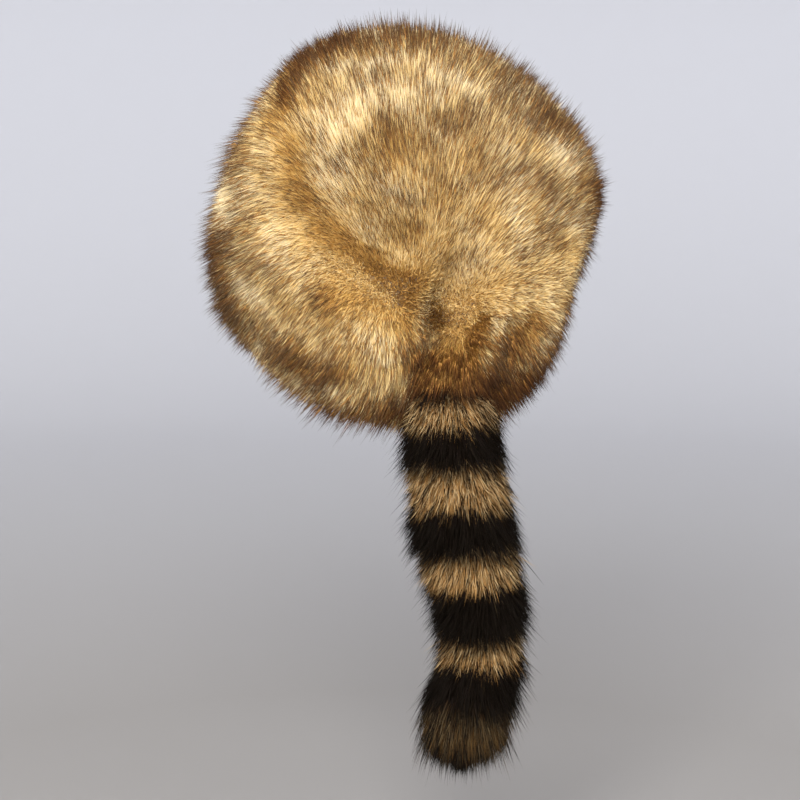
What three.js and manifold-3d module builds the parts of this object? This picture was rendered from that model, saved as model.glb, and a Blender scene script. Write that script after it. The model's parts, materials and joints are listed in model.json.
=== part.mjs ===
// Faux fur cap with a ringed tail, as worn: a side wall from the head opening to a slouching round crown
// panel, deep pile over both, and the tail sewn to the back of the side wall. Millimetres, +Z up, and the
// wearer looks along -Y. The origin is the centre of the head opening, where a head holds the cap.
import * as THREE from "three";
import { mergeVertices } from "three/addons/utils/BufferGeometryUtils.js";
import Module from "manifold-3d";

// Head opening, measured inside the cloth. The forehead edge sits higher than the nape edge.
const HEAD_WIDTH = 164;
const HEAD_LENGTH = 198;
const RIM_TILT = 23; // degrees

// Crown panel, measured over the cloth at its seam, and where the slouch carries its centre
const CROWN_WIDTH = 222;
const CROWN_LENGTH = 204;
const CROWN_TILT = 53; // degrees
const CROWN_RISE = 108;
const CROWN_BACK = 68;
const CROWN_SIDE = -9;
const CROWN_DOME = 28;
const DOME_FLATNESS = 2.6; // how late the dome falls away towards its edge

// Cloth and pile
const CLOTH = 2.5;
const WALL_SWELL = 27; // the most that the side wall swells out between rim and seam, over the forehead
const FOLD_DEPTH = 22; // the deepest fold, measured on the cloth
const PILE = 15; // cloth to lock tip, on the side wall and the crown
const RIM_OVERHANG = 9; // pile hanging past the rim
const SKIRT = 0.6; // share of the overhang that has a backing
const RIM_THINNING = 0.5; // share of the pile left at the very edge of the overhang
const GAP = 0.3; // clearance between neighbouring pieces
const PILE_GAP = 0.7; // clearance of the pile, wider as cloth and pile bend together in the folds

// Tail, measured over its locks
const TAIL_LENGTH = 248;
const TAIL_WIDTH = 70;
const TAIL_DEPTH = 58;
const TAIL_ANGLE = 10; // where its root is sewn: degrees round from the back, towards the wearer's left
const TAIL_SEAT = 0.3; // and the share of the wall from rim to seam
const TAIL_PILE = 9;

// How fur lies: a lock leans this far for each millimetre that it stands, and its foot is this share of it
const LEAN = 0.8;
const LOCK_FOOT = 0.55;
const LOCK_SPREAD = 0.16; // how unevenly long the locks are
const SEAM_DIP = 0.4; // share of the pile lost where the crown seam draws it in
const WALL_DRAW = 0.12; // shares of the wall and of the crown over which the seam draws the pile in
const CROWN_DRAW = 0.16;
const COMB_FADE = 0.25; // share of either over which the fur stands up towards the seam
const BESIDE_SEAM = 0.97; // the last share of either at which its own direction is taken
const FORWARD_COMB = 0.55; // how strongly the side's fur is combed forwards, against down
const CROWN_FAN = 0.6; // and how far the crown's fur turns outwards at its edge
const CALM_MIDDLE = 0.45; // share of the crown over which its locks grow to full depth
const PILE_STRETCH = 14; // degrees: the pile stands square to the cloth as it runs over this stretch
const CLOTH_STRETCH = 4; // degrees: and the cloth's own thickness over this one
const NEARBY = 0.02; // share of the wall or crown between places that give its direction

// Mesh steps: around the cap, up the wall's cloth, up its pile, across the crown's cloth, across its pile
const AROUND = 60;
const BACK_CROWDING = 0.3; // how much closer the steps stand at the folded back than halfway round
const WALL_ROWS = 8;
const PILE_ROWS = 16;
const CROWN_ROWS = 6;
const CROWN_PILE_ROWS = 12;
const TAIL_AROUND = 22;
const TAIL_ROWS = 30;

// How far the side wall swells, as a share of WALL_SWELL, at angles round from the back
const SWELLS = [
  { angle: 0, swell: 0.44 },
  { angle: 90, swell: 0.42 },
  { angle: 122, swell: 0.38 },
  { angle: 180, swell: 1 },
  { angle: 270, swell: 0.5 },
  { angle: 315, swell: 0.07 },
  { angle: 360, swell: 0.44 },
];

// Folds of the side wall. angle and width are degrees round from the back, towards the wearer's left, and
// drift is how far a fold wanders between its two ends. depth is a share of FOLD_DEPTH; low and high are
// the ends as shares of the wall from rim (0) to seam (1), and a fold that passes 1 draws in the crown too.
const FOLDS = [
  { angle: 19, drift: -1, width: 8, depth: 0.9, low: 0.45, high: 1.5 }, // pinch left of the tail
  { angle: 8, drift: 0, width: 6, depth: 0.35, low: 0.7, high: 1.1 }, // dimple beside the pinch
  { angle: 23, drift: -2, width: 9, depth: 0.35, low: 0.0, high: 0.8 }, // valley running down from it
  { angle: -5, drift: -7, width: 6, depth: 0.65, low: 0.2, high: 1.02 }, // sharp fold right of the tail
  { angle: 9, drift: -2, width: 7, depth: -0.35, low: 0.15, high: 0.85 }, // tongue over the tail root
  { angle: 68, drift: 0, width: 20, depth: 0.3, low: 0.7, high: 1.35 }, // slack below the crown, left
  { angle: 104, drift: 8, width: 16, depth: -0.2, low: 0.2, high: 0.95 },
  { angle: -64, drift: 6, width: 18, depth: 0.26, low: 0.6, high: 1.2 },
  { angle: -112, drift: -6, width: 15, depth: 0.2, low: 0.3, high: 0.95 },
  { angle: 158, drift: 5, width: 14, depth: 0.16, low: 0.25, high: 0.9 },
];

// Dents of the crown panel. angle as above; out and width are shares of the panel's radius, depth of its dome.
const DENTS = [
  { angle: 42, out: 0.86, width: 0.2, depth: 0.5 },
  { angle: 84, out: 0.78, width: 0.17, depth: 0.34 },
  { angle: 15, out: 0.8, width: 0.18, depth: 0.3 },
  { angle: -40, out: 0.9, width: 0.25, depth: 0.22 },
  { angle: -120, out: 0.6, width: 0.3, depth: 0.2 },
  { angle: 170, out: 0.55, width: 0.26, depth: -0.16 },
];

// Tail sections from root (0) to tip (1). wide is a share of TAIL_WIDTH and deep of TAIL_DEPTH; side is a
// shift towards the wearer's right and back a shift away from the neck, both shares of TAIL_WIDTH.
const TAIL_SECTIONS = [
  { down: 0.0, wide: 0.58, deep: 0.34, side: 0.01, back: 0.0 },
  { down: 0.03, wide: 0.88, deep: 0.56, side: 0.01, back: 0.01 },
  { down: 0.08, wide: 0.97, deep: 0.74, side: 0.01, back: 0.02 },
  { down: 0.16, wide: 0.98, deep: 0.88, side: 0.03, back: 0.05 },
  { down: 0.3, wide: 1.0, deep: 1.0, side: 0.08, back: 0.07 },
  { down: 0.44, wide: 1.0, deep: 1.0, side: 0.16, back: 0.09 },
  { down: 0.56, wide: 0.86, deep: 0.96, side: 0.27, back: 0.1 },
  { down: 0.7, wide: 0.82, deep: 0.92, side: 0.27, back: 0.1 },
  { down: 0.83, wide: 0.9, deep: 0.9, side: 0.15, back: 0.08 },
  { down: 0.91, wide: 0.78, deep: 0.8, side: 0.12, back: 0.06 },
  { down: 0.965, wide: 0.44, deep: 0.46, side: 0.1, back: 0.05 },
  { down: 1.0, wide: 0.12, deep: 0.12, side: 0.12, back: 0.05 },
];

const { degToRad, clamp, smoothstep, lerp } = THREE.MathUtils;
const vec = (x, y, z) => new THREE.Vector3(x, y, z);
const bell = (x) => Math.exp(-x * x);

const crownTilt = degToRad(CROWN_TILT);
const rimTilt = degToRad(RIM_TILT);
const crownCentre = vec(CROWN_SIDE, CROWN_BACK, CROWN_RISE);
const crownUp = vec(0, Math.sin(crownTilt), Math.cos(crownTilt));
const crownBackward = vec(0, Math.cos(crownTilt), -Math.sin(crownTilt));

// The smallest turn from one angle to another, both in degrees.
function turn(from, to) {
  return ((((to - from + 180) % 360) + 360) % 360) - 180;
}

// A fixed scatter from -1 to 1 for lock i of row j.
function scatter(i, j) {
  const x = Math.sin(i * 12.9898 + j * 78.233) * 43758.5453;
  return 2 * (x - Math.floor(x)) - 1;
}

// A column of a table that runs along u, with a smooth step between its rows.
function along(table, key, column, u) {
  const k = table.findIndex((row) => row[key] >= u);
  if (k <= 0) return table.at(k < 0 ? -1 : 0)[column];
  const [a, b] = [table[k - 1], table[k]];
  return lerp(a[column], b[column], smoothstep(u, a[key], b[key]));
}

// The outer edge of the cloth round the head opening. Angle 0 is the back, and 90 the wearer's left.
function rimPoint(angle) {
  const a = degToRad(angle);
  const across = HEAD_WIDTH / 2 + CLOTH;
  const lengthways = (HEAD_LENGTH / 2 + CLOTH) * Math.cos(a);
  return vec(across * Math.sin(a), lengthways * Math.cos(rimTilt), -lengthways * Math.sin(rimTilt));
}

// The crown seam before any fold draws it in.
function seamPoint(angle) {
  const a = degToRad(angle);
  return crownCentre
    .clone()
    .addScaledVector(vec(1, 0, 0), (CROWN_WIDTH / 2) * Math.sin(a))
    .addScaledVector(crownBackward, (CROWN_LENGTH / 2) * Math.cos(a));
}

// How far the folds draw the wall in at one place.
function foldDepth(angle, s) {
  return FOLDS.reduce((sum, fold) => {
    const middle = (fold.low + fold.high) / 2;
    const reach = (fold.high - fold.low) / 2;
    const wander = fold.drift * clamp((s - middle) / reach, -1, 1);
    const across = bell(turn(fold.angle + wander, angle) / fold.width);
    const lengthways = smoothstep(1 - Math.abs(s - middle) / reach, 0, 0.7);
    return sum + FOLD_DEPTH * fold.depth * across * lengthways;
  }, 0);
}

// The outer face of the side wall's cloth: s runs from the rim (0) to the crown seam (1).
function wallPoint(angle, s) {
  const a = degToRad(angle);
  const outward = vec(Math.sin(a), Math.cos(a), 0);
  const swell = WALL_SWELL * along(SWELLS, "angle", "swell", ((angle % 360) + 360) % 360);
  const bulge = swell * Math.sin(Math.PI * clamp(s, 0, 1));
  return rimPoint(angle)
    .lerp(seamPoint(angle), s)
    .addScaledVector(outward, bulge - foldDepth(angle, s));
}

// A unit vector square to the wall, pointing out of the cap, as it is over a stretch of that many degrees.
function wallNormal(angle, s, stretch = CLOTH_STRETCH) {
  const turned = wallPoint(angle + stretch, s).sub(wallPoint(angle - stretch, s));
  const risen = wallPoint(angle, s + NEARBY).sub(wallPoint(angle, s - NEARBY));
  return risen.cross(turned).normalize();
}

const wallLength = (angle) => rimPoint(angle).distanceTo(seamPoint(angle));

// The share of the wall at a drop below the crown seam, measured square to the crown panel.
function belowSeam(angle, drop) {
  const risen = wallPoint(angle, 1).sub(wallPoint(angle, 1 - 2 * NEARBY)).normalize();
  return 1 - drop / risen.dot(crownUp) / wallLength(angle);
}

// The outer face of the crown panel's cloth: q runs from its centre (0) to its seam (1).
function crownPoint(angle, q) {
  const drawnIn = wallPoint(angle, 1).sub(seamPoint(angle));
  const across = seamPoint(angle).sub(crownCentre).multiplyScalar(q);
  const place = crownCentre.clone().add(across).addScaledVector(drawnIn, q ** 4);
  const dents = DENTS.reduce((sum, dent) => {
    const a = degToRad(turn(dent.angle, angle));
    const apart = Math.hypot(q * Math.cos(a) - dent.out, q * Math.sin(a));
    return sum + dent.depth * bell(apart / dent.width);
  }, 0);
  return place.addScaledVector(crownUp, CROWN_DOME * (1 - q ** DOME_FLATNESS - dents * (1 - q ** 6)));
}

// A unit vector square to the crown panel, pointing out of the cap.
function crownNormal(angle, q) {
  if (q < 2 * NEARBY) return crownUp.clone();
  const turned = crownPoint(angle + PILE_STRETCH, q).sub(crownPoint(angle - PILE_STRETCH, q));
  const outward = crownPoint(angle, q + NEARBY).sub(crownPoint(angle, q - NEARBY));
  return turned.cross(outward).normalize();
}

// The way the pile stands at the crown seam, halfway between the wall and the crown.
function seamPile(angle) {
  return wallNormal(angle, BESIDE_SEAM, PILE_STRETCH).add(crownNormal(angle, BESIDE_SEAM)).normalize();
}

// One solid from rings of points. Each ring joins the next; the last one joins the first, or else two
// poles close the ends. Between two rings with a lock row the faces meet along the locks' feet.
function solidFromRings(rings, poles = []) {
  const count = rings[0].points.length;
  const points = rings.flatMap((ring) => ring.points);
  const faces = [];
  const last = poles.length ? rings.length - 1 : rings.length;
  for (let j = 0; j < last; j++) {
    const [low, high] = [j * count, ((j + 1) % rings.length) * count];
    const lockRow = rings[j].lockRow;
    for (let i = 0; i < count; i++) {
      const next = (i + 1) % count;
      const [a, b, c, d] = [low + i, low + next, high + next, high + i];
      const flip = lockRow !== undefined && (i + lockRow) % 2 === 0;
      faces.push(...(flip ? [a, b, d, b, c, d] : [a, b, c, a, c, d]));
    }
  }
  poles.forEach((pole, end) => {
    const ring = end ? (rings.length - 1) * count : 0;
    points.push(pole);
    for (let i = 0; i < count; i++) {
      const [a, b] = [ring + i, ring + ((i + 1) % count)];
      faces.push(...(end ? [a, b, points.length - 1] : [b, a, points.length - 1]));
    }
  });
  return facingOut(points, faces);
}

// An indexed geometry, with its faces turned to point out of the solid.
function facingOut(points, faces) {
  let volume = 0;
  for (let f = 0; f < faces.length; f += 3) {
    const [a, b, c] = [points[faces[f]], points[faces[f + 1]], points[faces[f + 2]]];
    volume += a.dot(b.clone().cross(c));
  }
  const turned = volume < 0 ? faces.toReversed() : faces;
  const geometry = new THREE.BufferGeometry().setFromPoints(points);
  return geometry.setIndex(turned);
}

// A ring of points, one for each step around. lockRow is given where locks stand.
function ring(pointAt, lockRow, count = AROUND) {
  const points = Array.from({ length: count }, (_, i) => {
    const even = (360 * i) / count;
    return pointAt(even - BACK_CROWDING * THREE.MathUtils.radToDeg(Math.sin(degToRad(even))), i);
  });
  return { points, lockRow };
}

const steps = (from, to, count) => Array.from({ length: count + 1 }, (_, k) => lerp(from, to, k / count));

// How high lock i of row j stands, as a share of the pile: its tip, or the foot between two locks.
function lockShare(i, j) {
  return (i + j) % 2 ? LOCK_FOOT : 1 + LOCK_SPREAD * scatter(i, j);
}

// A point of the pile's outer form: it stands off the cloth and leans the way the fur is combed.
function pilePoint(foot, stand, combed, height) {
  return foot.clone().addScaledVector(stand, height + GAP).addScaledVector(combed, LEAN * height);
}

// The side wall: cloth from the rim up to just under the crown panel.
function sideWall() {
  const shares = steps(0, 1, WALL_ROWS);
  const top = (angle) => belowSeam(angle, CLOTH + GAP);
  const outer = shares.map((k) => ring((angle) => wallPoint(angle, k * top(angle))));
  const inner = shares.toReversed().map((k) =>
    ring((angle) => {
      const s = k * top(angle);
      const outside = wallPoint(angle, s);
      const inside = outside.clone().addScaledVector(wallNormal(angle, s), -CLOTH);
      // The top edge stays parallel to the crown panel that it carries.
      const risen = k === 1 ? outside.clone().sub(inside).dot(crownUp) : 0;
      return inside.addScaledVector(crownUp, Math.min(risen, 0));
    }),
  );
  return solidFromRings([...outer, ...inner]);
}

// The way the side wall's fur is combed: down to the rim, and forwards along the sides.
function sideComb(angle, s) {
  const down = wallPoint(angle, s - NEARBY).sub(wallPoint(angle, s + NEARBY)).normalize();
  const round = wallPoint(angle + PILE_STRETCH, s).sub(wallPoint(angle - PILE_STRETCH, s)).normalize();
  const forwards = FORWARD_COMB * Math.sin(degToRad(angle));
  return down.addScaledVector(round, forwards).multiplyScalar(smoothstep(1 - s, 0, COMB_FADE));
}

// Where the side pile ends, just below the crown panel's pile.
const pileEdge = (angle) => belowSeam(angle, PILE_GAP);

// The inner face of the side pile, which follows the cloth from below the rim to the seam.
function sidePileFeet() {
  const skirt = (angle) => (-SKIRT * RIM_OVERHANG) / wallLength(angle);
  const top = (angle) => belowSeam(angle, CLOTH + GAP);
  const shares = [skirt, ...steps(0, 1, WALL_ROWS).map((k) => (angle) => k * top(angle)), pileEdge];
  return shares.map((share) =>
    ring((angle) => {
      const s = share(angle);
      return wallPoint(angle, s).addScaledVector(wallNormal(angle, s), PILE_GAP);
    }),
  );
}

// The deep pile round the side wall, in locks fused to a thin backing.
function sideFur() {
  const rows = steps(1, 0, PILE_ROWS);
  const locks = rows.map((k, j) =>
    ring((angle, i) => {
      const s = lerp(-RIM_OVERHANG / wallLength(angle), pileEdge(angle), k);
      const nearSeam = bell((1 - s) / WALL_DRAW);
      const onWall = wallNormal(angle, Math.min(s, BESIDE_SEAM), PILE_STRETCH);
      const stand = onWall.lerp(seamPile(angle), nearSeam).normalize();
      const thinning = lerp(RIM_THINNING, 1, smoothstep(k, 0, WALL_DRAW));
      const height = PILE * (1 - SEAM_DIP * nearSeam) * thinning * lockShare(i, j);
      return pilePoint(wallPoint(angle, s), stand, sideComb(angle, s), height);
    }, j),
  );
  return solidFromRings([...sidePileFeet(), ...locks]);
}

// The crown panel: domed cloth whose edge lies on the side wall's top.
function crownWall() {
  const outer = steps(0, 1, CROWN_ROWS).slice(1);
  const rings = [
    ...outer.map((q) => ring((angle) => crownPoint(angle, q))),
    ...outer.toReversed().map((q) =>
      ring((angle) =>
        q === 1
          ? wallPoint(angle, belowSeam(angle, CLOTH))
          : crownPoint(angle, q).addScaledVector(crownUp, -CLOTH),
      ),
    ),
  ];
  const middle = crownPoint(0, 0);
  return solidFromRings(rings, [middle, middle.clone().addScaledVector(crownUp, -CLOTH)]);
}

// The way the crown's fur is combed: forwards over the panel, and outwards towards its edge.
function crownComb(angle, q) {
  const outward = seamPoint(angle).sub(crownCentre).normalize();
  const forwards = crownBackward.clone().negate();
  return forwards.lerp(outward, CROWN_FAN * q).normalize().multiplyScalar(smoothstep(1 - q, 0, COMB_FADE));
}

// The deep pile over the crown panel, in locks fused to a thin backing.
function crownFur() {
  const reach = 1 - PILE_GAP / (CROWN_WIDTH / 2);
  const feet = [...steps(0, 1, CROWN_ROWS).slice(1, -1), reach];
  const locks = steps(reach, 0, CROWN_PILE_ROWS).slice(0, -1);
  const rings = [
    ...feet.map((q) => ring((angle) => crownPoint(angle, q).addScaledVector(crownUp, PILE_GAP))),
    ...locks.map((q, j) =>
      ring((angle, i) => {
        const nearSeam = bell((1 - q) / CROWN_DRAW);
        const onCrown = crownNormal(angle, Math.min(q, BESIDE_SEAM));
        const stand = onCrown.lerp(seamPile(angle), nearSeam).normalize();
        const height = PILE * (1 - SEAM_DIP * nearSeam) * crownLockShare(i, j, q);
        return pilePoint(crownPoint(angle, q), stand, crownComb(angle, q), height);
      }, j),
    ),
  ];
  const middle = crownPoint(0, 0);
  const top = pilePoint(middle, crownUp, crownComb(0, 0), PILE);
  return solidFromRings(rings, [middle.addScaledVector(crownUp, PILE_GAP), top]);
}

// Towards the middle of the crown the steps around close up, so its locks grow shallower.
function crownLockShare(i, j, q) {
  return lerp(1, lockShare(i, j), smoothstep(q, 0, CALM_MIDDLE));
}

// The tail's centre line, from its root on the back of the wall down to its tip. The root's inner side
// reaches a little into the wall's place, and is cut back to it.
function tailCentre(u) {
  const root = wallPoint(TAIL_ANGLE, TAIL_SEAT);
  const standOff = (TAIL_DEPTH / 2) * TAIL_SECTIONS[0].deep - CLOTH;
  const side = TAIL_WIDTH * along(TAIL_SECTIONS, "down", "side", u);
  const back = TAIL_WIDTH * along(TAIL_SECTIONS, "down", "back", u);
  return root.add(vec(-side, standOff + back, -TAIL_LENGTH * u));
}

// The tail: rings of locks that hang down from a core. spare makes the same form a little larger all round.
function tail(spare = 0) {
  const rows = steps(0, 1, TAIL_ROWS).slice(1, -1);
  const rings = [0, ...rows].map((u, j) =>
    ring(
      (angle, i) => {
        const a = degToRad(angle);
        const outward = vec(Math.sin(a), Math.cos(a), 0);
        const lock = 1 - lockShare(i, j);
        const wide = (TAIL_WIDTH / 2) * along(TAIL_SECTIONS, "down", "wide", u) + spare;
        const deep = (TAIL_DEPTH / 2) * along(TAIL_SECTIONS, "down", "deep", u) + spare;
        const shorter = TAIL_PILE * lock * smoothstep(u, 0, 0.05) * Math.min(1, wide / TAIL_PILE / 2);
        const combed = LEAN * (TAIL_PILE - shorter);
        return tailCentre(u)
          .add(vec(wide * outward.x, deep * outward.y, 0))
          .addScaledVector(outward, -shorter)
          .add(vec(0, 0, -combed * smoothstep(u, 0, 0.1)));
      },
      j,
      TAIL_AROUND,
    ),
  );
  const top = tailCentre(0).add(vec(0, 0, TAIL_PILE / 2 + spare));
  const tip = tailCentre(1).add(vec(0, 0, -LEAN * TAIL_PILE - spare));
  return solidFromRings(rings, [top, tip]);
}

// Everything inside the side pile's feet, closed at both ends: the room that the cloth keeps clear.
function capRoom() {
  const rings = sidePileFeet();
  const centre = (points) => points.reduce((sum, p) => sum.add(p), vec(0, 0, 0)).divideScalar(AROUND);
  return solidFromRings(rings, [centre(rings[0].points), centre(rings.at(-1).points)]);
}

const wasm = await Module();
wasm.setup();

// A closed geometry as a solid that can be cut.
function solid(geometry) {
  const merged = mergeVertices(geometry);
  const vertProperties = merged.attributes.position.array;
  const triVerts = new Uint32Array(merged.index.array);
  return new wasm.Manifold(new wasm.Mesh({ numProp: 3, vertProperties, triVerts }));
}

// The largest body of a cut solid, as a geometry. Crumbs that a cut leaves loose are dropped.
function largestBody(cut) {
  const bodies = cut.decompose().sort((a, b) => b.volume() - a.volume());
  const mesh = bodies[0].getMesh();
  const geometry = new THREE.BufferGeometry();
  geometry.setAttribute("position", new THREE.BufferAttribute(mesh.vertProperties, 3));
  return geometry.setIndex([...mesh.triVerts]);
}

// The tail is cut back to the wall that it is sewn to, and the side pile parts round the tail's root.
const tailPiece = largestBody(solid(tail()).subtract(solid(capRoom())));
const sidePile = largestBody(solid(sideFur()).subtract(solid(tail(GAP))));

const cloth = new THREE.MeshStandardMaterial({ color: 0xb9a27c, roughness: 0.95, metalness: 0 });
const strawFur = new THREE.MeshStandardMaterial({ color: 0xb8935a, roughness: 0.8, metalness: 0 });
const tailFur = new THREE.MeshStandardMaterial({ color: 0x4a3522, roughness: 0.75, metalness: 0 });

// A piece of the cap as a mesh named after its node.
function piece(name, geometry, material) {
  const mesh = new THREE.Mesh(geometry, material);
  mesh.name = name;
  return mesh;
}

const cap = new THREE.Group();
cap.add(
  piece("side_wall", sideWall(), cloth),
  piece("crown_wall", crownWall(), cloth),
  piece("side_fur", sidePile, strawFur),
  piece("crown_fur", crownFur(), strawFur),
  piece("tail", tailPiece, tailFur),
);

export default cap;
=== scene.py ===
"""Looks of a faux fur cap with a ringed tail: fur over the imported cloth, a plain studio and the camera.

The pile and the tail are made of flat tapering strands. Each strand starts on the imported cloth, or inside
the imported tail, and leans the way the fur is combed. Lengths are metres unless a name says mm.
"""

import json
import math

import bpy
import numpy as np
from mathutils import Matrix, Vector, kdtree, noise
from mathutils.bvhtree import BVHTree


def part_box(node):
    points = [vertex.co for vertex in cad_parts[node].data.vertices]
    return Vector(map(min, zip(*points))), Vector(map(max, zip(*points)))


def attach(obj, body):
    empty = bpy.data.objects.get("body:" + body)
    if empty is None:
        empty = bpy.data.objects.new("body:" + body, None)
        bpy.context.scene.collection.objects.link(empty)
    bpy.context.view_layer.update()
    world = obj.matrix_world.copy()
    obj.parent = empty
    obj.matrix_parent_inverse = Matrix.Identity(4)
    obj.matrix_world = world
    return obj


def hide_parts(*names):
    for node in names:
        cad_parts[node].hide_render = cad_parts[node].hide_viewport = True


MM = 0.001

# The photograph's view: the camera stands behind the wearer's left, a little above the rim.
PHOTO_SIZE = 800  # pixels each way
VIEW_AZIMUTH = math.radians(149.3)
VIEW_ELEVATION = math.radians(8.6)
VIEW_DISTANCE = 1.6
PIXEL_AT_TARGET = 0.667 * MM
TARGET_HEIGHT = -46.7 * MM
TARGET_ASIDE = 19.0 * MM
SENSOR_WIDTH_MM = 36.0

# The crown's fur is combed away from this point, where the folds gather at the back.
COMB_SOURCE = np.array([0.016, 0.112, 0.0])
FORWARD_COMB = 1.25  # how strongly the side pile is combed forwards round the cap, against down to the rim
STAND_BLUR = 10 * MM  # the pile stands square to the cloth as it runs over this reach
SWIRL_SIZE = 45 * MM  # the combs swing from side to side in slow swirls of this size
COMB_SWIRL = 0.8  # and this far
INWARD = -0.3  # faces turned this far from where the pile stands are inside the cap and carry no fur

# The coats of fur. count is strands on each square millimetre. rise, run and width are millimetres: what a
# strand climbs, what it travels and how wide it starts. uneven is how much lengths differ, gather how far
# strands close up into clumps, frizz how many millimetres tips stray, roll how many radians a strand turns
# off lying flat, and root the share of its length where it starts to show.
COATS = {
    "cap_under": dict(count=4.0, rise=10.5, run=12.0, width=0.5, root=0.12,
                      uneven=0.14, gather=0.3, frizz=1.0, roll=0.5),
    "cap_guard": dict(count=2.1, rise=19.5, run=11.5, width=0.55, root=0.4,
                      uneven=0.2, gather=0.1, frizz=1.6, roll=1.0),
    "tail_under": dict(count=3.2, rise=7.5, run=11.0, width=0.5, root=0.1,
                       uneven=0.16, gather=0.25, frizz=1.8, roll=0.9),
    "tail_guard": dict(count=1.3, rise=13.0, run=13.0, width=0.46, root=0.35,
                       uneven=0.22, gather=0.1, frizz=2.6, roll=1.2),
}
CLUMP_AREA_MM2 = 6.0  # cloth that one clump of strands closes up over
CLUMP_WOBBLE = 0.12  # how far a clump's comb strays
CLUMP_UNEVEN = 0.1  # how much clumps differ in length
LEAST_GATHER = 0.4  # the share of a coat's gather that the loosest strands keep
LEAST_SIZE, MOST_SIZE = -2.0, 1.5  # lengths differ by no more than these times uneven
WIDTHS = (0.7, 1.25)  # the narrowest and the widest strand, beside the coat's width

# From its root (t = 0) to its tip (t = 1) a strand climbs as 1 - (1 - t) ** RISE_CURVE, runs on along its
# comb as t ** RUN_CURVE and strays as t ** FRIZZ_CURVE.
RISE_CURVE = 1.7
RUN_CURVE = 1.35
FRIZZ_CURVE = 1.5

SEEN_UP_MM = 13.5  # how far off the cloth full-length fur shows its colours
SEEN_ALONG_MM = 9.0  # and how far along the comb
COMB_BLUR = 18 * MM  # the fur's direction changes over this reach, as at the crown seam
SEAM_REACH = 13 * MM  # this near to the crown seam the fur is shorter
SEAM_SHORTER = 0.4  # by up to this share
RIM_REACH = 24 * MM  # and this near to the rim
RIM_SHORTER = 0.38  # by up to this one
UNDER_PILE = 1.6 * MM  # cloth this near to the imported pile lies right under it
SKIN_REACH = 7 * MM  # and cloth this near to it carries fur as well
AMBER_REACH = 0.6  # the share of a strand's paler end that fully amber fur goes without
TAIL_DEPTH_MM = 9.0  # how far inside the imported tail's outer form its strands start
TAIL_SHORTER = 0.06  # and how much shorter than it, as the strands hang past the tip
BRUSH_AT_MM = 34.0  # strands about this far above the tip lie over further and end as a brush
BRUSH_REACH_MM = 16.0  # the height over which they do
BRUSH_LONGER = 1.1  # by up to this share
TIP_SHORTER = 0.45  # while those at the tip itself are shorter by this one
TIP_ROUND = 25 * MM  # the tip's strands turn downwards over this height
TAIL_SLICES = 24  # the tail's centre line is found from this many slices
SLICE_REACH = 12 * MM  # each of which reaches this far up and down
DEEPEST_START = 0.7  # the share of the way to the centre line that no strand starts beyond

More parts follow.
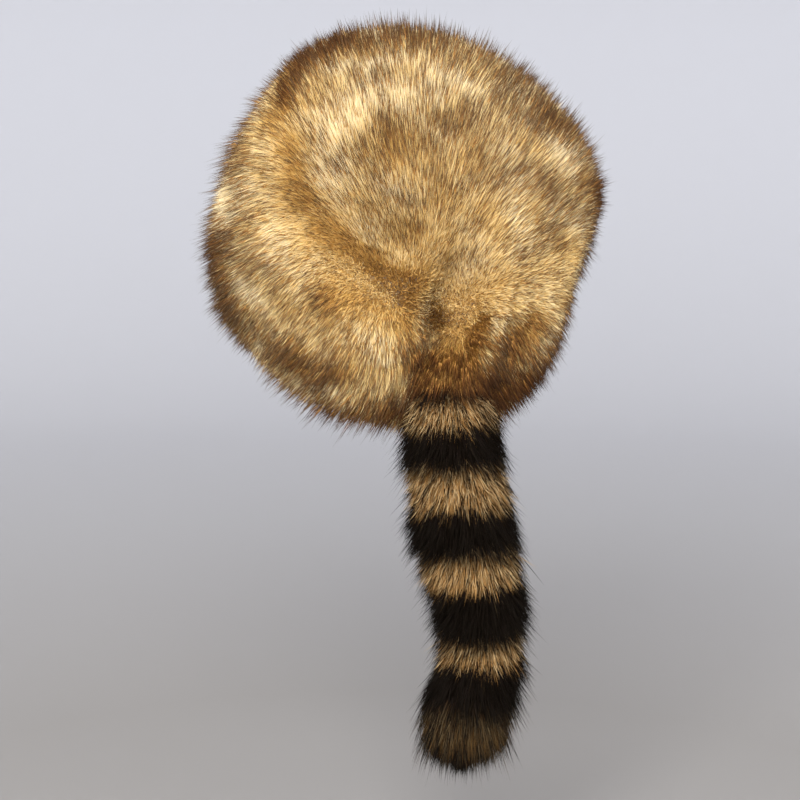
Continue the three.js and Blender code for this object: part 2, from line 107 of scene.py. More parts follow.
# Patches of the cap's fur, each along a line between two pixels of the photograph. dark is how far the fur
# there is darkened, or lightened where it is below 0, and amber how far its golden roots show.
# Some patches are the fur's own darker, paler and more golden tones. Others are painted shade, where the
# fur is darkened towards the outline, in the fold and the dimples, in the valley left of the tail, on the
# band's centre and just over the tail's root.
TONE_AND_SHADE_PATCHES = [
    # Painted shade towards the outline: these patches darken the fur where it turns away from the light,
    # together with the dark tips of its guard hairs that show there.
    dict(name="top edge", start=(342, 42), end=(440, 37), reach=9, dark=0.32, amber=0.1),
    dict(name="upper left edge", start=(304, 64), end=(342, 42), reach=6, dark=0.6, amber=0.4),
    dict(name="upper left seam", start=(283, 100), end=(304, 64), reach=7, dark=0.7, amber=0.5),
    dict(name="left edge, top", start=(248, 114), end=(224, 168), reach=5, dark=0.7, amber=0.1),
    dict(name="left edge, upper", start=(222, 172), end=(213, 236), reach=6, dark=0.7, amber=0.1),
    dict(name="left edge, lower", start=(216, 250), end=(232, 318), reach=10, dark=0.4, amber=0.2),
    dict(name="low left band", start=(250, 338), end=(292, 350), reach=7, dark=0.12, amber=0.3),
    dict(name="streak above the rim", start=(290, 362), end=(345, 378), reach=6, dark=0.3, amber=0.6),
    dict(name="rim beside the tail", start=(365, 424), end=(425, 408), reach=8, dark=0.6, amber=0.1),
    # Painted shade on the right and lower right, where the light falls off: the fur there is darkened, and
    # it has its own dark tips as well.
    dict(name="lower right edge", start=(500, 392), end=(566, 328), reach=15, dark=1.0, amber=-0.2),
    dict(name="right edge", start=(598, 190), end=(596, 262), reach=9, dark=0.55, amber=0.0),
    dict(name="right shoulder", start=(548, 118), end=(592, 146), reach=11, dark=0.3, amber=0.0),
    dict(name="upper right edge", start=(470, 62), end=(530, 88), reach=8, dark=0.1, amber=0.0),
    dict(name="crown, left of centre", start=(385, 128), end=(392, 150), reach=9, dark=0.12, amber=0.2),
    dict(name="crown, upper left", start=(330, 128), end=(330, 172), reach=12, dark=-0.12, amber=-0.1),
    dict(name="crown, centre", start=(425, 150), end=(450, 178), reach=12, dark=0.08, amber=0.1),
    dict(name="crown, right", start=(540, 190), end=(556, 240), reach=14, dark=0.04, amber=0.1),
    # Painted shade in the hollows: the dimples and the fold right of the tail darken the fur where shade
    # gathers, and the pinch has some dark tips of its own as well.
    dict(name="crown's left dimple", start=(305, 186), end=(318, 206), reach=5, dark=0.25, amber=0.2),
    dict(name="dimple by the pinch", start=(434, 312), end=(442, 322), reach=5, dark=0.7, amber=0.0),
    dict(name="fold right of the tail", start=(485, 314), end=(483, 326), reach=4, dark=0.9, amber=0.2),
    dict(name="fold, upper middle", start=(481, 332), end=(478, 346), reach=6, dark=1.2, amber=0.2),
    dict(name="fold, lower middle", start=(476, 350), end=(471, 364), reach=6, dark=1.4, amber=0.2),
    dict(name="fold's lower end", start=(469, 368), end=(462, 382), reach=6, dark=1.4, amber=0.2),
    # Partly painted shade: the valley left of the tail is darkened where it dips, while its amber is the
    # fur's golden roots showing.
    dict(name="valley left of the tail", start=(412, 298), end=(408, 370), reach=5, dark=0.22, amber=0.6),
    dict(name="over the tail", start=(432, 366), end=(462, 362), reach=9, dark=0.95, amber=0.9),
    # Painted shadow: the cap's fur just over the tail's root is darkened for the shade between the cap and
    # the tail.
    dict(name="fringe over the tail", start=(424, 391), end=(482, 386), reach=7, dark=1.5, amber=0.3),
    dict(name="right of the fold", start=(508, 352), end=(540, 328), reach=9, dark=0.4, amber=0.6),
    dict(name="seam valley", start=(322, 226), end=(405, 286), reach=6, dark=0.22, amber=1.3),
    dict(name="seam, left", start=(289, 145), end=(303, 208), reach=6, dark=0.1, amber=0.7),
    dict(name="crown's left flank", start=(276, 120), end=(292, 190), reach=8, dark=-0.05, amber=0.4),
    dict(name="crown highlight", start=(372, 96), end=(422, 88), reach=15, dark=-0.1, amber=-0.25),
    dict(name="pale left flank", start=(240, 150), end=(228, 205), reach=8, dark=-0.4, amber=-0.2),
    # Painted shade: the band's centre faces the key light, and its fur is darkened to hold back that light.
    dict(name="band, centre", start=(330, 300), end=(385, 318), reach=14, dark=0.17, amber=0.1),
    dict(name="band, middle", start=(262, 245), end=(300, 270), reach=12, dark=-0.15, amber=0.0),
    dict(name="pale lower band", start=(330, 398), end=(395, 388), reach=7, dark=-0.2, amber=0.6),
]
BROWN_HAIRS = 0.14  # the share of guard hairs that are brown where the fur isn't darkened
BROWN_HAIR_WIDTH = 0.8  # how wide these are beside the other guard hairs
PALE_HAIR_LENGTH = 0.62  # and how long the others are beside them
BROWN_TINT = 0.94  # how dark the brown hairs' tips are
DARKEST_BROWN = 0.1  # and how much darker in the darkest fur
PALE_TINT = 0.04  # how dark the others' tips are
UNDER_PALER = 0.1  # how much paler the underfur is than its patch
TINT_STRAY = 0.1  # and how far its strands stray from that
PATCH_DEPTH = 0.35  # distances along the view count this much, as patches near the outline turn away
RAGGED_SIZE = 11 * MM  # a patch's border wanders in waves of this size
RAGGED = 0.6  # by up to this share of its reach
PLAIN_DARK = 0.1  # how dark and how amber the coat is between the patches
PLAIN_AMBER = 0.2
MOTTLE_SIZE = 22 * MM  # it varies in waves of this size
MOTTLE = 0.2  # by this much in darkness
AMBER_MOTTLE = 0.6  # and this much in amber
DARK_TO_AMBER = 0.8  # darker fur shows this much more of its golden roots

# The tail's rings, from its root down: each starts at a share of the tail's height and takes over from the
# last one over the share blur. dark is 0 for tan and 1 for near black.
RINGS = [
    # The first row is painted shadow: the near black band at the tail's root stands for the shade under the
    # cap's fur that hangs over it. The rings below it are the tail's own.
    dict(start=0.0, dark=1.0, blur=0.01),
    dict(start=0.038, dark=0.12, blur=0.035),
    dict(start=0.093, dark=1.0, blur=0.015),
    dict(start=0.2, dark=0.06, blur=0.05),
    dict(start=0.286, dark=1.0, blur=0.018),
    dict(start=0.408, dark=0.04, blur=0.045),
    dict(start=0.476, dark=1.0, blur=0.015),
    dict(start=0.62, dark=0.04, blur=0.04),
    dict(start=0.672, dark=1.0, blur=0.012),
    dict(start=0.785, dark=0.7, blur=0.05),
    dict(start=0.83, dark=1.0, blur=0.03),
]
BLACK_HAIRS = 0.25  # the share of the tail's guard hairs that are black in its tan rings too
BLACK_FROM = 0.9  # tail guard hairs darker than this keep their full length
RING_TINT_STRAY = 0.06  # how far the strands' tints stray in a tan ring
RAGGED_ROUND, RAGGED_DOWN = 60, 25  # waves to a metre in the rings' edges, across the tail and down it
RING_WANDER = 0.014  # how far a ring's edge wanders, and strays from strand to strand

FLOOR_DROP = 0.08  # the floor lies this far under the tail
STUDIO_RADIUS = 2.6
# The backdrop's colours, at shares of its radius. The floor near the cap is painted darker and the far wall
# paler: painted shade and painted light that stand in for how the lamps' light falls on the backdrop.
PAPER = [(0.15, (0.255, 0.245, 0.24)), (0.58, (0.43, 0.43, 0.45)), (0.97, (0.61, 0.62, 0.665))]

# Soft square lights. place is in metres to the right, upwards and towards the camera, and size is a side.
LIGHTS = [
    dict(name="key", place=(-0.2, 0.5, 1.75), watts=57, size=1.0, colour=(1.0, 0.985, 0.95)),
    dict(name="fill", place=(1.2, -0.2, 1.5), watts=14, size=1.4, colour=(0.97, 0.98, 1.0)),
    dict(name="top", place=(0.1, 1.8, -0.6), watts=8, size=1.6, colour=(1.0, 1.0, 1.0)),
]
LIGHTS_AIM = Vector((0, 0.05, 0.05))
AIR_COLOUR = (1.0, 0.985, 0.96, 1)
AIR_STRENGTH = 1.2

rng = np.random.default_rng(7)
noise.seed_set(7)  # noise_vector would otherwise start from the time of day


def unit(v):
    """Rows of v as unit vectors."""
    return v / np.maximum(np.linalg.norm(v, axis=-1, keepdims=True), 1e-9)


def flatten(v, normals):
    """Rows of v with what points along the normals taken out."""
    return v - (v * normals).sum(-1, keepdims=True) * normals


def mesh_arrays(obj):
    """The corners and triangles of a mesh, with corners within a thousandth of a millimetre joined."""
    obj.data.calc_loop_triangles()
    verts = np.array([v.co for v in obj.data.vertices])
    tris = np.array([t.vertices for t in obj.data.loop_triangles])
    joined, index = np.unique(verts.round(6), axis=0, return_inverse=True)
    return joined, index.ravel()[tris]


def face_normals(verts, tris):
    """The normal of each triangle, as long as twice its area."""
    a, b, c = (verts[tris[:, k]] for k in range(3))
    return np.cross(b - a, c - a)


def tree_of(*objects):
    """One search tree over the faces of several meshes."""
    verts, tris, offset = [], [], 0
    for obj in objects:
        v, t = mesh_arrays(obj)
        verts += v.tolist()
        tris += (t + offset).tolist()
        offset += len(v)
    return BVHTree.FromPolygons(verts, tris)


# The cloth that carries the pile

def cloth_skin(wall, pile):
    """A cloth wall's faces, how far each is from the pile, and the summed normals of those under it."""
    verts, tris = mesh_arrays(wall)
    tree = tree_of(pile)
    apart = np.array([tree.find_nearest(Vector(c))[3] for c in verts[tris].mean(1)])
    under = apart < UNDER_PILE
    face = face_normals(verts, tris)
    normals = np.zeros_like(verts)
    for k in range(3):
        np.add.at(normals, tris[under, k], face[under])
    return dict(verts=verts, tris=tris, apart=apart, area_normals=normals)


def keep_outside(skin):
    """Leaves a skin the faces that carry fur: near the pile, at its edges too, and not inside the cap."""
    face = unit(face_normals(skin["verts"], skin["tris"]))
    outside = (face * skin["stands"][skin["tris"]].mean(1)).sum(1) > INWARD
    skin["tris"] = skin["tris"][outside & (skin["apart"] < SKIN_REACH)]


def set_stands(skins):
    """Gives each skin the directions its pile stands in: its normals, blurred over folds and the seam."""
    places = np.concatenate([s["verts"] for s in skins])
    areas = np.concatenate([s["area_normals"] for s in skins])
    used = np.linalg.norm(areas, axis=1) > 0
    for s in skins:
        apart = np.linalg.norm(s["verts"][:, None] - places[None, used], axis=2)
        weights = np.exp(-((apart / STAND_BLUR) ** 2))
        s["stands"] = unit(weights @ areas[used])


def side_combs(skin, down):
    """Side pile is combed down to the rim, and forwards round the cap."""
    n = skin["stands"]
    sideways = np.hypot(n[:, 0], n[:, 1])[:, None] + 1e-6
    round_cap = np.stack([n[:, 1], -n[:, 0], np.zeros(len(n))], 1) / sideways
    forwards = FORWARD_COMB * n[:, :1] / sideways
    return unit(flatten(np.asarray(down)[None] + forwards * round_cap, n))


def crown_combs(skin):
    """Crown pile is combed up and away from where the folds gather."""
    return unit(flatten(unit(skin["verts"] - COMB_SOURCE), skin["stands"]))


def blur_combs(skins):
    """Blurs the comb directions over all skins. Where they point apart, the fur lies over less."""
    places = np.concatenate([s["verts"] for s in skins])
    areas = np.concatenate([np.linalg.norm(s["area_normals"], axis=1) for s in skins])
    combs = np.concatenate([s["combs"] for s in skins]) * areas[:, None]
    for s in skins:
        apart = np.linalg.norm(s["verts"][:, None] - places[None], axis=2)
        weights = np.exp(-((apart / COMB_BLUR) ** 2))
        blurred = (weights @ combs) / (weights @ areas)[:, None]
        s["combs"] = unit(flatten(blurred, s["stands"]))
        s["lay"] = np.linalg.norm(blurred, axis=1, keepdims=True)


def set_lengths(skin, other, down):
    """How long the fur is: less near the seam with the other part, and near the rim."""
    tree = tree_of(other)
    apart = np.array([tree.find_nearest(Vector(p))[3] for p in skin["verts"]])
    above_rim = np.abs(skin["verts"] @ np.array(down))
    shorter = SEAM_SHORTER * np.exp(-((apart / SEAM_REACH) ** 2))
    shorter += RIM_SHORTER * np.exp(-((above_rim / RIM_REACH) ** 2))
    skin["length"] = 1 - shorter[:, None]


def swirl(places, combs, stands):
    """Turns comb directions a little, in slow swirls."""
    turns = np.array([noise.noise(Vector(p / SWIRL_SIZE)) for p in places])[:, None] * COMB_SWIRL
    return unit(combs + turns * np.cross(stands, combs))


def scatter(skin, number):
    """Even random places on a skin, with the way the fur there stands and is combed."""
    areas = np.linalg.norm(face_normals(skin["verts"], skin["tris"]), axis=1)
    picks = rng.choice(len(areas), number, p=areas / areas.sum())
    u, v = rng.random((2, number))
    over = u + v > 1
    u[over], v[over] = 1 - u[over], 1 - v[over]
    weights = np.stack([1 - u - v, u, v], 1)[:, :, None]
    at = skin["tris"][picks]
    keys = ("verts", "stands", "combs", "lay", "length")
    return {key: (skin[key][at] * weights).sum(1) for key in keys}


def skin_area_mm2(skin):
    """The area of a skin's faces."""
    return np.linalg.norm(face_normals(skin["verts"], skin["tris"]), axis=1).sum() / 2 / MM**2


# Strands

def clump_of(places, clumps):
    """The index of the nearest clump for each place."""
    tree = kdtree.KDTree(len(clumps))
    for k, place in enumerate(clumps):
        tree.insert(place, k)
    tree.balance()
    return np.array([tree.find(p)[1] for p in places])


def strand_paths(field, coat, sizes):
    """Where each strand starts to show and where it ends, bent over along the comb."""
    t = np.array([coat["root"], 1.0])[None, :, None]
    lengths = sizes[:, None, None] * field["length"][:, None] * MM
    up = field["stands"][:, None] * (1 - (1 - t) ** RISE_CURVE) * coat["rise"] * lengths
    along = field["combs"][:, None] * t**RUN_CURVE * coat["run"] * lengths * field["lay"][:, None]
    return field["verts"][:, None] + up + along


def grow(field, clumps, home, coat, sizes=1.0):
    """The paths of a coat's strands, each closed up a little on the leader of its home clump."""
    number = len(home)
    own = 1 + coat["uneven"] * rng.standard_normal(number).clip(LEAST_SIZE, MOST_SIZE)
    paths = strand_paths(field, coat, own * clumps["sizes"][home] * sizes)
    leaders = strand_paths(clumps, coat, clumps["sizes"])[home]
    t = np.array([coat["root"], 1.0])[None, :, None]
    gather = coat["gather"] * (LEAST_GATHER + (1 - LEAST_GATHER) * rng.random(number))[:, None, None]
    paths = paths + gather * t * (leaders - paths)
    frizz = rng.standard_normal((number, 1, 3)) * coat["frizz"] * MM
    return paths + frizz * t**FRIZZ_CURVE


def strand_mesh(name, strands, coat, material, node):
    """One piece made of flat strands that taper to a point. Its UV map holds (tint, share of length).

    Each strand has a path, a stand, a width, a tint and a reach: how far it goes along the colours from
    root to tip.
    """
    paths = strands["paths"]
    number = len(paths)
    way = unit(paths[:, 1] - paths[:, 0])
    side = unit(np.cross(way, strands["stands"]))
    roll = (rng.uniform(-1, 1, number) * coat["roll"])[:, None]
    across = side * np.cos(roll) + np.cross(side, way) * np.sin(roll)
    widths = strands["widths"] * rng.uniform(*WIDTHS, number) * coat["width"] * MM
    half = across * widths[:, None] / 2
    verts = np.stack([paths[:, 0] - half, paths[:, 0] + half, paths[:, 1]], 1)
    loops = np.arange(3 * number)

    mesh = bpy.data.meshes.new(name)
    mesh.vertices.add(3 * number)
    mesh.vertices.foreach_set("co", verts.ravel())
    mesh.loops.add(len(loops))
    mesh.loops.foreach_set("vertex_index", loops.astype(np.int32))
    mesh.polygons.add(number)
    mesh.polygons.foreach_set("loop_start", loops[::3].astype(np.int32))
    mesh.update(calc_edges=True)

    # The map leaves a margin beside the darkest and the palest tints, and gives each strand a little width.
    margin, half_width = 0.005, 0.003
    edge = np.array([-half_width, half_width, 0])
    along = np.array([coat["root"], coat["root"], 1.0])
    tints = strands["tints"].clip(0, 1) * (1 - 2 * margin) + margin
    uv = np.stack([tints[:, None] + edge, along * strands["reaches"][:, None]], 2)
    layer = mesh.uv_layers.new(name="OFBake")
    layer.data.foreach_set("uv", uv.ravel().astype(np.float32))

    piece = bpy.data.objects.new(name, mesh)
    bpy.context.scene.collection.objects.link(piece)
    mesh.materials.append(material)
    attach(piece, "root")
    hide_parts(node)
    return piece


# Where the photograph's colours lie

def view_axes():
    """The photograph's view: towards the camera, right and up."""
    a, e = VIEW_AZIMUTH, VIEW_ELEVATION
    back = Vector((math.sin(a) * math.cos(e), -math.cos(a) * math.cos(e), math.sin(e)))
    right = Vector((math.cos(a), math.sin(a), 0))
    return back, right, back.cross(right)


def view_place():
    """Where the camera stands and what it looks at."""
    back, right, _ = view_axes()
    target = Vector((0, 0, TARGET_HEIGHT)) + right * TARGET_ASIDE
    return target + back * VIEW_DISTANCE, target


def place_at_pixel(tree, pixel):
    """The place on the cap behind a pixel, or the nearest to it where the pixel just misses."""
    back, right, up = view_axes()
    eye, target = view_place()
    x, y = pixel[0] - PHOTO_SIZE / 2, PHOTO_SIZE / 2 - pixel[1]
    seen = target + (right * x + up * y) * PIXEL_AT_TARGET
    hit = tree.ray_cast(eye, (seen - eye).normalized())[0]
    return hit or tree.find_nearest(seen)[0]


def patch_weights(places, patch, tree):
    """How strongly a patch marks each place: 1 on its line, falling off over its reach."""
    a, b = (np.array(place_at_pixel(tree, patch[end])) for end in ("start", "end"))
    line = b - a
    share = ((places - a) @ line / (line @ line)).clip(0, 1)
    off = places - (a + share[:, None] * line)
    away = np.outer(off @ np.array(view_axes()[0]), view_axes()[0])
    apart = np.linalg.norm(off - (1 - PATCH_DEPTH) * away, axis=1)
    return np.exp(-((apart / (patch["reach"] * MM)) ** 2))


def cap_tones(places, tree):
    """How dark (0 to 1) and how amber (0 to 1) the fur is at each place on the cap: its own mottle and
    tones, together with the painted shade of some patches.
    """
    mottle = [noise.fractal(Vector(p / MOTTLE_SIZE), 1.0, 2.0, 4) for p in places]
    dark = PLAIN_DARK + MOTTLE * np.array(mottle)
    elsewhere = 9  # a step in the noise, so that the amber goes its own way
    amber_mottle = [noise.noise(Vector(p / MOTTLE_SIZE + elsewhere)) for p in places]
    amber = PLAIN_AMBER + AMBER_MOTTLE * np.array(amber_mottle)
    wander = RAGGED * MM * np.array([noise.noise_vector(Vector(p / RAGGED_SIZE)) for p in places])
    for patch in TONE_AND_SHADE_PATCHES:
        weights = patch_weights(places + wander * patch["reach"], patch, tree)
        dark += patch["dark"] * weights
        amber += (patch["amber"] + min(patch["dark"], 0)) * weights
    amber += DARK_TO_AMBER * dark
    return dark.clip(-BROWN_HAIRS, 1), amber.clip(0, 1)


# Materials

def shader(material, roughness, sheen=0.0):
    """The Principled shader of a new material, matt as fur and cloth are."""
    material.use_nodes = True
    node = material.node_tree.nodes["Principled BSDF"]
    node.inputs["Roughness"].default_value = roughness
    node.inputs["Specular IOR Level"].default_value = 0.25
    node.inputs["Sheen Weight"].default_value = sheen
    return node


def ramp(tree, fac, stops):
    """A colour ramp node over a factor, from (position, colour) stops."""
    node = tree.nodes.new("ShaderNodeValToRGB")
    elements = node.color_ramp.elements
    while len(elements) < len(stops):
        elements.new(0.5)
    for element, (position, colour) in zip(elements, stops):
        element.position = position
        element.color = (*colour, 1)
    tree.links.new(fac, node.inputs["Fac"])
    return node.outputs["Color"]


def strand_material(name, pale, dark, gloss):
    """Fur whose colour runs from root to tip, and with each strand's tint from pale to dark."""
    material = bpy.data.materials.new(name)
    bsdf = shader(material, 0.6)
    bsdf.inputs["Specular IOR Level"].default_value = gloss
    tree = material.node_tree
    uv = tree.nodes.new("ShaderNodeUVMap")
    uv.uv_map = "OFBake"
    split = tree.nodes.new("ShaderNodeSeparateXYZ")
    tree.links.new(uv.outputs["UV"], split.inputs["Vector"])
    mix = tree.nodes.new("ShaderNodeMix")
    mix.data_type = "RGBA"
    tree.links.new(split.outputs["X"], mix.inputs["Factor"])
    tree.links.new(ramp(tree, split.outputs["Y"], pale), mix.inputs["A"])
    tree.links.new(ramp(tree, split.outputs["Y"], dark), mix.inputs["B"])
    tree.links.new(mix.outputs["Result"], bsdf.inputs["Base Color"])
    return material


def cloth_material():
    """The knitted backing of the fur fabric, seen inside the cap."""
    material = bpy.data.materials.new("backing_knit")
    bsdf = shader(material, 0.9, sheen=0.3)
    tree = material.node_tree
    coords = tree.nodes.new("ShaderNodeTexCoord")
    ribs = tree.nodes.new("ShaderNodeTexWave")
    ribs.inputs["Scale"].default_value = 190
    ribs.inputs["Distortion"].default_value = 2.5
    ribs.inputs["Detail"].default_value = 1
    fuzz = tree.nodes.new("ShaderNodeTexNoise")
    fuzz.inputs["Scale"].default_value = 320
    for texture in (ribs, fuzz):
        tree.links.new(coords.outputs["Object"], texture.inputs["Vector"])
    colour = ramp(tree, ribs.outputs["Fac"], [(0.2, (0.17, 0.115, 0.07)), (0.8, (0.3, 0.215, 0.14))])
    tree.links.new(colour, bsdf.inputs["Base Color"])
    height = tree.nodes.new("ShaderNodeMath")
    height.operation = "MULTIPLY_ADD"
    height.inputs[1].default_value = 0.6
    tree.links.new(fuzz.outputs["Fac"], height.inputs[0])
    tree.links.new(ribs.outputs["Fac"], height.inputs[2])
    bump = tree.nodes.new("ShaderNodeBump")
    bump.inputs["Strength"].default_value = 0.5
    bump.inputs["Distance"].default_value = 0.6 * MM
    tree.links.new(height.outputs[0], bump.inputs["Height"])
    tree.links.new(bump.outputs["Normal"], bsdf.inputs["Normal"])
    return material


def skin_material():
    """The dark skin under the tail's fur, with a soft mottle."""
    material = bpy.data.materials.new("tail_skin")
    bsdf = shader(material, 0.9)
    mottle = material.node_tree.nodes.new("ShaderNodeTexNoise")
    mottle.inputs["Scale"].default_value = 140
    stops = [(0.35, (0.016, 0.009, 0.005)), (0.65, (0.06, 0.03, 0.012))]
    colour = ramp(material.node_tree, mottle.outputs["Fac"], stops)
    material.node_tree.links.new(colour, bsdf.inputs["Base Color"])
    return material


def paper_material():
    """Backdrop paper: a grey floor that turns paler and bluer away from the cap, its darker floor and paler
    wall being painted shade and painted light.
    """
    material = bpy.data.materials.new("studio_paper")
    bsdf = shader(material, 0.9)
    tree = material.node_tree
    coords = tree.nodes.new("ShaderNodeTexCoord")
    level = tree.nodes.new("ShaderNodeVectorMath")
    level.operation = "MULTIPLY"
    level.inputs[1].default_value = (1 / STUDIO_RADIUS, 1 / STUDIO_RADIUS, 0)
    tree.links.new(coords.outputs["Object"], level.inputs[0])
    out = tree.nodes.new("ShaderNodeVectorMath")
    out.operation = "LENGTH"
    tree.links.new(level.outputs["Vector"], out.inputs[0])
    tree.links.new(ramp(tree, out.outputs["Value"], PAPER), bsdf.inputs["Base Color"])
    return material


# Each coat's colours, at shares of a strand's length from its root to its tip
STRAW = strand_material(
    "straw_underfur",
    pale=[
        (0.1, (0.4, 0.19, 0.04)),
        (0.45, (0.66, 0.41, 0.115)),
        (0.75, (0.83, 0.64, 0.3)),
        (1.0, (0.93, 0.84, 0.65)),
    ],
    dark=[(0.1, (0.2, 0.085, 0.014)), (0.55, (0.24, 0.105, 0.022)), (1.0, (0.09, 0.038, 0.011))],
    gloss=0.06,
)
GUARD = strand_material(
    "brown_guard_hair",
    pale=[
        (0.15, (0.5, 0.24, 0.045)),
        (0.35, (0.7, 0.45, 0.15)),
        (0.6, (0.83, 0.63, 0.3)),
        (1.0, (0.93, 0.81, 0.56)),
    ],
    dark=[
        (0.4, (0.45, 0.23, 0.06)),
        (0.52, (0.17, 0.067, 0.016)),
        (0.68, (0.055, 0.019, 0.005)),
        (1.0, (0.012, 0.005, 0.002)),
    ],
    gloss=0.06,
)
# The tail's tan rings are given a dim brown: the tan is the fur's own, and the dimming is painted shade,
# for the tail hangs in shade.
TAIL_FUR = strand_material(
    "ringed_underfur",
    pale=[
        (0.1, (0.1, 0.04, 0.01)),
        (0.5, (0.25, 0.11, 0.028)),
        (0.8, (0.48, 0.27, 0.095)),
        (1.0, (0.38, 0.19, 0.06)),
    ],
    dark=[(0.1, (0.003, 0.002, 0.0015)), (1.0, (0.0015, 0.001, 0.001))],
    gloss=0.02,
)
TAIL_GUARD = strand_material(
    "ringed_guard_hair",
    pale=[(0.4, (0.3, 0.15, 0.05)), (0.7, (0.6, 0.43, 0.22)), (1.0, (0.5, 0.32, 0.14))],
    dark=[(0.4, (0.004, 0.0025, 0.002)), (1.0, (0.002, 0.0015, 0.001))],
    gloss=0.03,
)


# The cap's fur

def clumps_on(skin):
    """Clump leaders on a skin, each with its own comb and length."""
    clumps = scatter(skin, int(skin_area_mm2(skin) / CLUMP_AREA_MM2))
    wobble = rng.standard_normal(clumps["combs"].shape) * CLUMP_WOBBLE
    clumps["combs"] = unit(flatten(clumps["combs"] + wobble, clumps["stands"]))
    clumps["sizes"] = 1 + CLUMP_UNEVEN * rng.standard_normal(len(wobble)).clip(LEAST_SIZE, MOST_SIZE)
    return clumps


def cap_coat(name, skin, clumps, tones, coat_name, material, node, keep=None):
    """One coat of strands over a skin, or over the part of it that keep picks."""
    coat = COATS[coat_name]
    field = scatter(skin, int(skin_area_mm2(skin) * coat["count"]))
    if keep is not None:
        chosen = keep(field["verts"])
        field = {key: values[chosen] for key, values in field.items()}
    home = clump_of(field["verts"], clumps["verts"])
    dark, amber = (tone[home] for tone in tones)
    if coat_name == "cap_guard":
        brown = rng.random(len(home)) < BROWN_HAIRS + dark
        tints = np.where(brown, BROWN_TINT + DARKEST_BROWN * dark, PALE_TINT)
        reaches = np.where(brown, 1, 1 - AMBER_REACH * amber)
        widths = np.where(brown, BROWN_HAIR_WIDTH, 1)
        sizes = np.where(brown, 1, PALE_HAIR_LENGTH)
    else:
        tints = dark - UNDER_PALER + TINT_STRAY * rng.standard_normal(len(home))
        reaches = 1 - AMBER_REACH * amber
        widths = sizes = np.ones(len(home))
    paths = grow(field, clumps, home, coat, sizes)
    strands = dict(paths=paths, stands=field["stands"], tints=tints, reaches=reaches, widths=widths)
    strand_mesh(name, strands, coat, material, node)


def dress_cap(nodes):
    """Both coats of fur over the side wall and the crown."""
    side = cloth_skin(nodes["side_wall"], nodes["side_fur"])
    crown = cloth_skin(nodes["crown_wall"], nodes["crown_fur"])
    set_stands([side, crown])
    keep_outside(side)
    keep_outside(crown)
    rim_axis = frame["record"]["mounts"][0]["axis"]
    side["combs"] = swirl(side["verts"], side_combs(side, rim_axis), side["stands"])
    crown["combs"] = swirl(crown["verts"], crown_combs(crown), crown["stands"])
    blur_combs([side, crown])
    set_lengths(side, nodes["crown_wall"], rim_axis)
    set_lengths(crown, nodes["side_wall"], rim_axis)
    tree = tree_of(nodes["side_fur"], nodes["crown_fur"])
    for part, skin, node in (("side", side, "side_fur"), ("crown", crown, "crown_fur")):
        clumps = clumps_on(skin)
        reach = clumps["stands"] * SEEN_UP_MM + clumps["combs"] * clumps["lay"] * SEEN_ALONG_MM
        seen = clumps["verts"] + reach * clumps["length"] * MM
        tones = cap_tones(seen, tree)
        if part == "side":
            halves = (("left", lambda p: p[:, 0] >= 0), ("right", lambda p: p[:, 0] < 0))
            for half, keep in halves:
                cap_coat(f"side_underfur_{half}", skin, clumps, tones, "cap_under", STRAW, node, keep)
        else:
            cap_coat("crown_underfur", skin, clumps, tones, "cap_under", STRAW, node)
        cap_coat(f"{part}_guard_hair", skin, clumps, tones, "cap_guard", GUARD, node)


# The tail's fur

def tail_skin(node):
    """Where the tail's strands start: its outer form drawn in towards its centre line, and a little up."""
    verts, tris = mesh_arrays(node)
    heights = verts[:, 2]
    slices = np.linspace(heights.min(), heights.max(), TAIL_SLICES)
    middles = np.array([verts[np.abs(heights - z) < SLICE_REACH].mean(0) for z in slices])
    centre = np.stack([np.interp(heights, slices, middles[:, k]) for k in (0, 1)], 1)
    outward = verts - np.column_stack([centre, heights])
    reach = np.linalg.norm(outward, axis=1, keepdims=True)
    drawn_in = verts - unit(outward) * np.minimum(TAIL_DEPTH_MM * MM, DEEPEST_START * reach)
    drawn_in[:, 2] += TAIL_SHORTER * (heights.max() - heights)
    tip = np.clip((heights.min() + TIP_ROUND - heights) / TIP_ROUND, 0, 1)[:, None]
    stands = unit(unit(outward) + tip * np.array([0, 0, -1.0]))
    combs = unit(flatten(np.array([[0, 0, -1.0]]), stands) + 1e-6)
    above_tip = ((heights - heights.min()) / MM)[:, None]
    lay = 1 + BRUSH_LONGER * np.exp(-(((above_tip - BRUSH_AT_MM) / BRUSH_REACH_MM) ** 2))
    length = 1 - TIP_SHORTER * np.exp(-((above_tip / BRUSH_REACH_MM) ** 2))
    return dict(verts=drawn_in, tris=tris, stands=stands, combs=combs, lay=lay, length=length)


def ring_darkness(places, top, bottom):
    """How dark the tail is at each place, with rings that run into each other a little, and a painted
    shadow band at its root.
    """
    share = (top - places[:, 2]) / (top - bottom)
    waves = places * np.array([RAGGED_ROUND, RAGGED_ROUND, RAGGED_DOWN])
    ragged = np.array([noise.noise(Vector(p)) for p in waves])
    share = share + RING_WANDER * (ragged + 0.5 * rng.standard_normal(len(places)))
    dark = np.full(len(places), RINGS[0]["dark"])
    for before, ring in zip(RINGS, RINGS[1:]):
        step = ((share - ring["start"]) / ring["blur"] + 0.5).clip(0, 1)
        dark += step * (ring["dark"] - before["dark"])
    return dark.clip(0, 1)


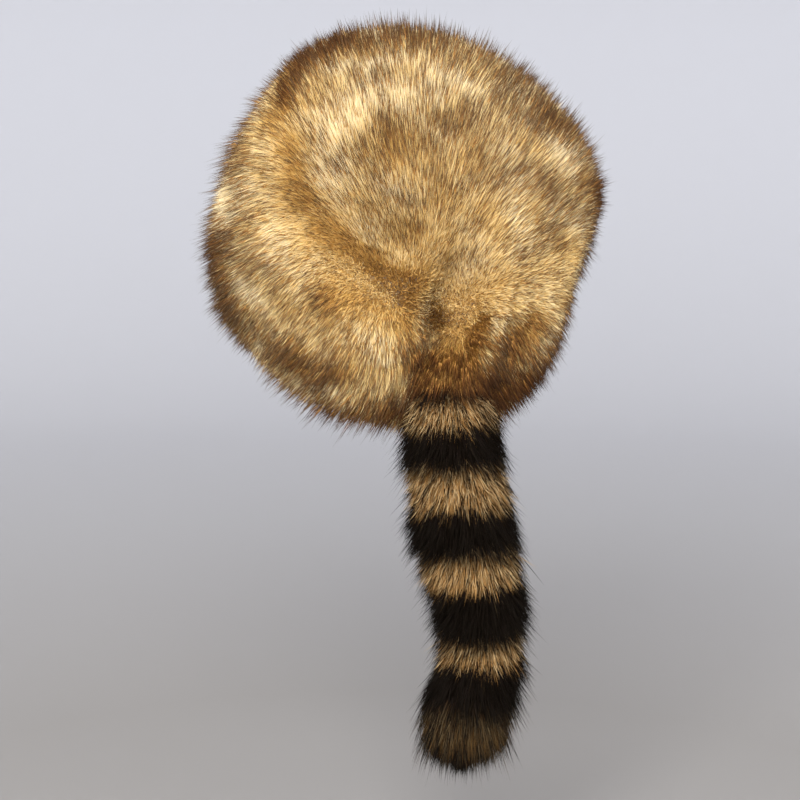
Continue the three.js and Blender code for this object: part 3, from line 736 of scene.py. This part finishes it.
def dress_tail(node):
    """Both coats of fur round the tail, and a dark skin under them."""
    low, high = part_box("tail")
    skin = tail_skin(node)
    clumps = clumps_on(skin)
    for coat_name, material in (("tail_under", TAIL_FUR), ("tail_guard", TAIL_GUARD)):
        coat = COATS[coat_name]
        field = scatter(skin, int(skin_area_mm2(skin) * coat["count"]))
        home = clump_of(field["verts"], clumps["verts"])
        whole = np.ones(len(home))
        dark = ring_darkness(field["verts"], high.z, low.z)
        tints = dark + RING_TINT_STRAY * rng.standard_normal(len(home)) * (1 - dark)
        name = "tail_underfur"
        sizes = whole
        if coat_name == "tail_guard":
            name = "tail_guard_hair"
            tints[rng.random(len(home)) < BLACK_HAIRS] = 1
            sizes = np.where(tints > BLACK_FROM, 1, PALE_HAIR_LENGTH)
        paths = grow(field, clumps, home, coat, sizes)
        strands = dict(paths=paths, stands=field["stands"], tints=tints, reaches=whole, widths=whole)
        strand_mesh(name, strands, coat, material, "tail")
    tail_core(skin)


def tail_core(skin):
    """The dark skin that the tail's strands grow on, made a little smoother."""
    core = bpy.data.objects.new("tail_core", bpy.data.meshes.new("tail_core"))
    core.data.from_pydata(skin["verts"].tolist(), [], skin["tris"].tolist())
    core.data.materials.append(skin_material())
    bpy.context.scene.collection.objects.link(core)
    smooth = core.modifiers.new("smooth", "SMOOTH")
    smooth.iterations = 6
    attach(core, "root")
    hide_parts("tail")


# The studio

def studio(floor_height):
    """A pale floor that curves up into a plain backdrop all round, so that every view has one."""
    radius, fillet, height, turns = STUDIO_RADIUS, 0.9, 3.4, 64
    bends = [(radius - fillet + fillet * math.sin(a), fillet - fillet * math.cos(a))
             for a in np.linspace(0, math.pi / 2, 10)]
    profile = [(0.0, 0.0), *bends, (radius, height)]
    angles = [2 * math.pi * k / turns for k in range(turns)]
    verts = [(r * math.cos(a), r * math.sin(a), floor_height + z) for r, z in profile for a in angles]
    faces = []
    for low in range(0, len(verts) - turns, turns):
        for k in range(turns):
            after = (k + 1) % turns
            faces.append((low + k, low + after, low + turns + after, low + turns + k))
    mesh = bpy.data.meshes.new("studio")
    mesh.from_pydata(verts, [], faces)
    mesh.shade_smooth()
    mesh.materials.append(paper_material())
    sweep = bpy.data.objects.new("studio", mesh)
    bpy.context.scene.collection.objects.link(sweep)


def lights():
    """The soft lights, turned to the cap, and the light of the air round it."""
    back, right, up = view_axes()
    for row in LIGHTS:
        data = bpy.data.lights.new(row["name"], "AREA")
        data.energy = row["watts"]
        data.size = row["size"]
        data.color = row["colour"]
        light = bpy.data.objects.new(row["name"], data)
        aside, above, nearer = row["place"]
        light.location = right * aside + up * above + back * nearer
        light.rotation_euler = (LIGHTS_AIM - light.location).to_track_quat("-Z", "Y").to_euler()
        bpy.context.scene.collection.objects.link(light)
    world = bpy.data.worlds.new("studio_air")
    world.use_nodes = True
    world.node_tree.nodes["Background"].inputs["Color"].default_value = AIR_COLOUR
    world.node_tree.nodes["Background"].inputs["Strength"].default_value = AIR_STRENGTH
    bpy.context.scene.world = world


def camera():
    """The camera of the photograph's view."""
    eye, target = view_place()
    data = bpy.data.cameras.new("photo_view")
    data.sensor_width = SENSOR_WIDTH_MM
    data.lens = SENSOR_WIDTH_MM * VIEW_DISTANCE / (PIXEL_AT_TARGET * PHOTO_SIZE)
    cam = bpy.data.objects.new("photo_view", data)
    cam.location = eye
    cam.rotation_euler = (target - eye).to_track_quat("-Z", "Y").to_euler()
    bpy.context.scene.collection.objects.link(cam)
    bpy.context.scene.camera = cam


bpy.context.scene.view_settings.view_transform = "Standard"
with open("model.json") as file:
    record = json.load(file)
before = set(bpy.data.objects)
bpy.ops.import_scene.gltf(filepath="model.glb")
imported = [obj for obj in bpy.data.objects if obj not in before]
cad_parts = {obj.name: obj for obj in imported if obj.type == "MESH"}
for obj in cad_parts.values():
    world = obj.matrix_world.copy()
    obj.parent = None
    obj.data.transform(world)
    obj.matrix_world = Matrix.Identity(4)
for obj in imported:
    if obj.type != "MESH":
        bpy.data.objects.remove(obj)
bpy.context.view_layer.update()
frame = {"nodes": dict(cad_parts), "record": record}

camera()
lights()
studio(floor_height=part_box("tail")[0].z - FLOOR_DROP)
knit = cloth_material()
for wall in ("side_wall", "crown_wall"):
    frame["nodes"][wall].data.materials.clear()
    frame["nodes"][wall].data.materials.append(knit)
dress_cap(frame["nodes"])
dress_tail(frame["nodes"]["tail"])
